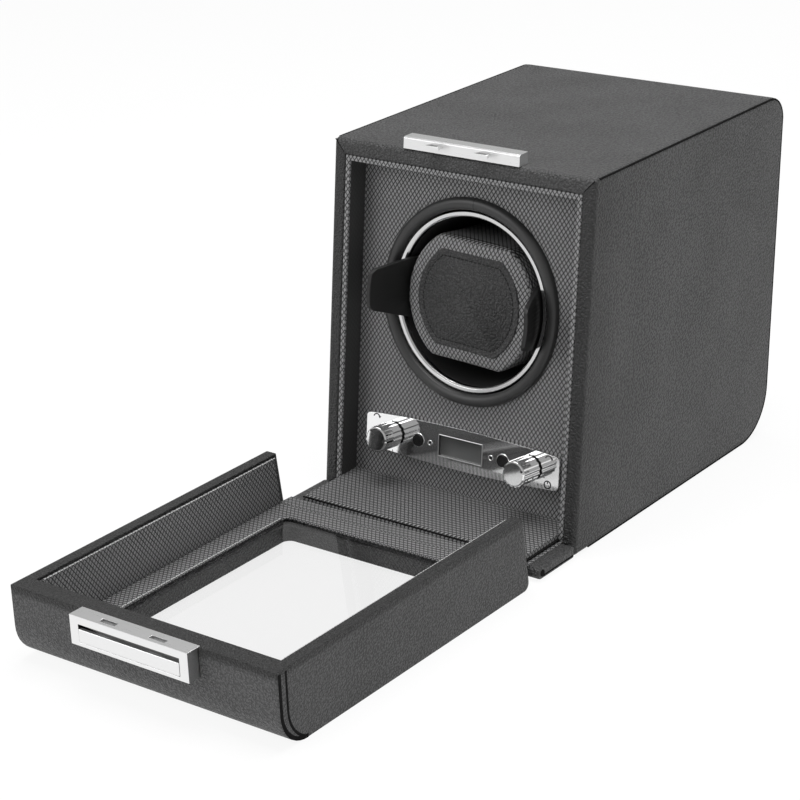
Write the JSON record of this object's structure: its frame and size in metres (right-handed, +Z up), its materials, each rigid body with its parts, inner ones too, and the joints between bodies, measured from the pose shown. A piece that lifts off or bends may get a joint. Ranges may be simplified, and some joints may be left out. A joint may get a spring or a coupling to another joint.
{
  "type": "watch winder box",
  "caption": "Leather-covered watch winder with a leaning case, a padded cuff in a bright-ringed drum, a control plate with knobs and display, and an open cover with a glass window.",
  "frame": {"origin": "on the table, under the middle of the case's front lower edge", "axes": "+X to the right seen from the front, +Y to the back of the case, +Z up"},
  "size_m": [0.14, 0.3909, 0.172],
  "materials": {
    "board_wood": "matte",
    "grained_leather": "fine pebbled grain, satin",
    "woven_cloth": "woven rhombus pattern",
    "felt": "matte",
    "satin_plate": "satin",
    "chrome_trim": "polished",
    "black_plastic": "semi gloss",
    "bearing_steel": "bright",
    "sheet_aluminium": "plain",
    "circuit_green": "matte",
    "display_glass": "grey, glossy",
    "light_lens": "translucent",
    "belt_rubber": "matte",
    "core_foam": "matte",
    "clear_glass": "clear"
  },
  "bodies": {
    "case": {"carcass": "board_wood", "case_wrap": "grained_leather", "side_leather_left": "grained_leather", "side_leather_right": "grained_leather", "front_rim": "grained_leather", "recess_liner": "woven_cloth", "face_panel": "woven_cloth", "drum_gasket": "grained_leather", "tongue_board": "grained_leather", "floor_pad": "woven_cloth", "base_felt": "felt", "hinge_leather": "grained_leather", "hinge_lining": "woven_cloth", "striker_plate": "satin_plate", "striker_hooks": "satin_plate", "rear_plate": "sheet_aluminium", "posts": "sheet_aluminium", "chassis_screws": "bearing_steel", "bearing_housing": "black_plastic", "front_bearing": "bearing_steel", "rear_bearing": "bearing_steel", "gear_motor": "bearing_steel", "control_plate": "chrome_trim", "display_lens": "display_glass", "display_module": "black_plastic", "circuit_board": "circuit_green", "press_switches": "black_plastic", "status_lights": "light_lens", "encoder_left": "bearing_steel", "encoder_right": "bearing_steel", "power_inlet": "black_plastic", "drive_belt": "belt_rubber"},
    "drum": {"drum_cup": "black_plastic", "drum_ring": "chrome_trim", "drum_shaft": "bearing_steel", "drum_pulley": "black_plastic", "shaft_clip": "bearing_steel"},
    "motor_rotor": {"motor_pulley": "black_plastic"},
    "cuff": {"cuff_core": "core_foam", "cuff_cushion": "woven_cloth", "cuff_patch": "grained_leather", "wing_left": "black_plastic", "wing_right": "black_plastic"},
    "dial_left": {"knob_left": "chrome_trim", "spindle_left": "bearing_steel"},
    "dial_right": {"knob_right": "chrome_trim", "spindle_right": "bearing_steel"},
    "press_left": {"button_left": "black_plastic"},
    "press_right": {"button_right": "black_plastic"},
    "cover": {"cover_frame": "grained_leather", "cover_liner": "woven_cloth", "cover_border": "woven_cloth", "window_reveal": "grained_leather", "glass_pane": "clear_glass", "latch_plate": "satin_plate"},
    "latch_press_bar": {"latch_button": "satin_plate"},
    "latch_slider": {"latch_catch": "bearing_steel"}
  },
  "joints": [
    {"name": "cover_hinge", "type": "hinge", "parent": "case", "child": "cover", "pos_m": [0, -0.0316, 0.003], "axis": [-1, 0, 0], "range_deg": [0, 97.24], "deforming": ["hinge_leather", "hinge_lining"]},
    {"name": "drum_spin", "type": "hinge", "parent": "case", "child": "drum", "pos_m": [0, 0.06233, 0.09389], "axis": [0, 0.992, -0.126], "continuous": true},
    {"name": "motor_spin", "type": "hinge", "parent": "case", "child": "motor_rotor", "pos_m": [0, 0.11429, 0.02681], "axis": [0, 0.992, -0.126], "continuous": true},
    {"name": "cuff_pull", "type": "slide", "parent": "drum", "child": "cuff", "axis": [0, 0.992, -0.126], "range_m": [-0.075, 0]},
    {"name": "knob_left_turn", "type": "hinge", "parent": "case", "child": "dial_left", "pos_m": [-0.0381, 0.00709, 0.03196], "axis": [0, 0.992, -0.126], "range_deg": [-140, 140]},
    {"name": "knob_right_turn", "type": "hinge", "parent": "case", "child": "dial_right", "pos_m": [0.0381, 0.00709, 0.03196], "axis": [0, 0.992, -0.126], "range_deg": [-140, 140]},
    {"name": "button_left_press", "type": "slide", "parent": "case", "child": "press_left", "axis": [0, 0.992, -0.126], "range_m": [0, 0.0007], "stiffness_N_per_m": 800, "springref_m": -0.0004},
    {"name": "button_right_press", "type": "slide", "parent": "case", "child": "press_right", "axis": [0, 0.992, -0.126], "range_m": [0, 0.0007], "stiffness_N_per_m": 800, "springref_m": -0.0004},
    {"name": "latch_press", "type": "slide", "parent": "cover", "child": "latch_press_bar", "axis": [0, 1, 0], "range_m": [0, 0.0012], "stiffness_N_per_m": 1200, "springref_m": -0.0006},
    {"name": "catch_slide", "type": "slide", "parent": "cover", "child": "latch_slider", "axis": [1, 0, 0], "range_m": [0, 0.0016]}
  ],
  "couplings": [
    {"joint": "motor_spin", "follows": "drum_spin", "ratio": 4},
    {"joint": "catch_slide", "follows": "latch_press", "ratio": 1.3333}
  ]
}
